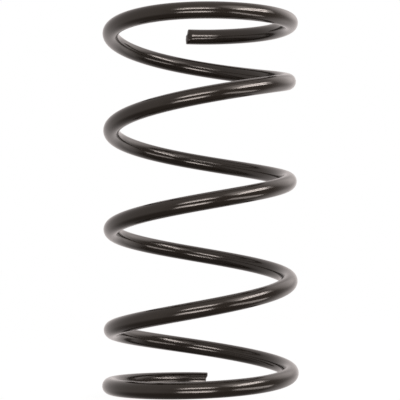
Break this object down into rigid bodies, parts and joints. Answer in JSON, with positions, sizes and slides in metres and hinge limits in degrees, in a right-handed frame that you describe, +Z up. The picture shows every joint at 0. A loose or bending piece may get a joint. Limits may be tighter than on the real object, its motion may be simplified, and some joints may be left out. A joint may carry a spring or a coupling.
{
  "type": "suspension spring",
  "caption": "Compression coil spring for a vehicle's suspension, wound from round steel bar, with closer end coils, plainly sheared ends and gloss black paint.",
  "frame": {"origin": "on the coil's axis, level with the underside of the bottom coil", "axes": "+Z up the coil's axis, from the lower seat to the upper; +Y towards the side where both cut ends lie"},
  "size_m": [0.1629, 0.1631, 0.3167],
  "materials": {
    "black_paint": "gloss black paint over coiled steel bar"
  },
  "bodies": {
    "root": {"coil_spring": "black_paint"}
  },
  "joints": []
}
